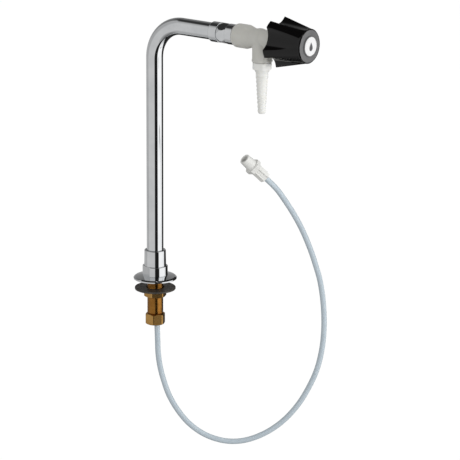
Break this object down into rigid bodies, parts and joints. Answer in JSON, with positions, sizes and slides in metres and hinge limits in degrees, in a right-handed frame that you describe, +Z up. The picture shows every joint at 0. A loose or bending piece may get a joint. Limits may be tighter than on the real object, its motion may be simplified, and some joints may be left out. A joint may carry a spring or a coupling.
{
  "type": "laboratory gooseneck tap",
  "caption": "Deck-mounted laboratory water tap: chrome right-angle swivel spout with a lined bore, plastic valve, barbed hose nozzle, lobed knob and a loose supply tube with a threaded fitting.",
  "frame": {"origin": "centre of the flange's underside, where it meets the deck", "axes": "+X along the arm towards the knob, +Z up along the riser"},
  "size_m": [0.2408, 0.1546, 0.5228],
  "materials": {
    "chrome": "polished chrome plate",
    "brass": "turned brass, slightly tarnished",
    "washer_steel": "dark oiled steel",
    "screw_steel": "plain steel",
    "milky_plastic": "moulded natural polypropylene",
    "white_plastic": "moulded white polypropylene",
    "tube_plastic": "stiff translucent polyethylene",
    "seal_rubber": "moulded rubber",
    "slip_plastic": "turned slippery plastic",
    "knob_plastic": "moulded black plastic, satin gloss",
    "index_grey": "moulded grey plastic",
    "index_white": "moulded white plastic"
  },
  "bodies": {
    "base": {"base_flange": "chrome", "base_collar": "chrome", "swivel_sleeve": "chrome", "thrust_washer": "slip_plastic", "swivel_seal": "seal_rubber", "mounting_shank": "brass", "inlet_gland": "brass", "supply_tube": "tube_plastic", "fitting_body": "white_plastic", "fitting_wing_nut": "white_plastic", "fitting_ferrule": "white_plastic"},
    "spout": {"gooseneck_tube": "chrome", "foot_ring": "brass", "arm_adapter": "chrome", "lining_tube": "tube_plastic", "lining_ferrule": "white_plastic", "valve_body": "milky_plastic", "hose_nozzle": "white_plastic", "nozzle_gasket": "seal_rubber", "bonnet": "milky_plastic", "bonnet_seal": "seal_rubber", "stem_packing": "slip_plastic", "packing_nut": "milky_plastic"},
    "closer": {"closing_disc": "seal_rubber", "disc_cup": "milky_plastic"},
    "handle": {"stem": "milky_plastic", "knob": "knob_plastic", "knob_screw": "screw_steel", "index_ring": "index_grey", "index_button": "index_white"},
    "clamp": {"clamp_washer": "washer_steel"},
    "nut": {"locknut": "brass"}
  },
  "joints": [
    {"name": "spout_swing", "type": "hinge", "parent": "base", "child": "spout", "pos_m": [0, 0, 0], "axis": [0, 0, 1], "range_deg": [-180, 180]},
    {"name": "disc_lift", "type": "slide", "parent": "spout", "child": "closer", "axis": [1, 0, 0], "range_m": [0, 0.00375]},
    {"name": "knob_turn", "type": "hinge", "parent": "closer", "child": "handle", "pos_m": [0.19, 0, 0.296], "axis": [1, 0, 0], "range_deg": [0, 540]},
    {"name": "clamp_travel", "type": "slide", "parent": "base", "child": "clamp", "axis": [0, 0, 1], "range_m": [-0.0192, 0.0099]},
    {"name": "locknut_turn", "type": "hinge", "parent": "clamp", "child": "nut", "pos_m": [0, 0, -0.015], "axis": [0, 0, 1], "range_deg": [-4608, 2376]}
  ],
  "couplings": [
    {"joint": "disc_lift", "follows": "knob_turn", "m_per_rad": 0.00039789},
    {"joint": "clamp_travel", "follows": "locknut_turn", "m_per_rad": 0.00023873}
  ]
}
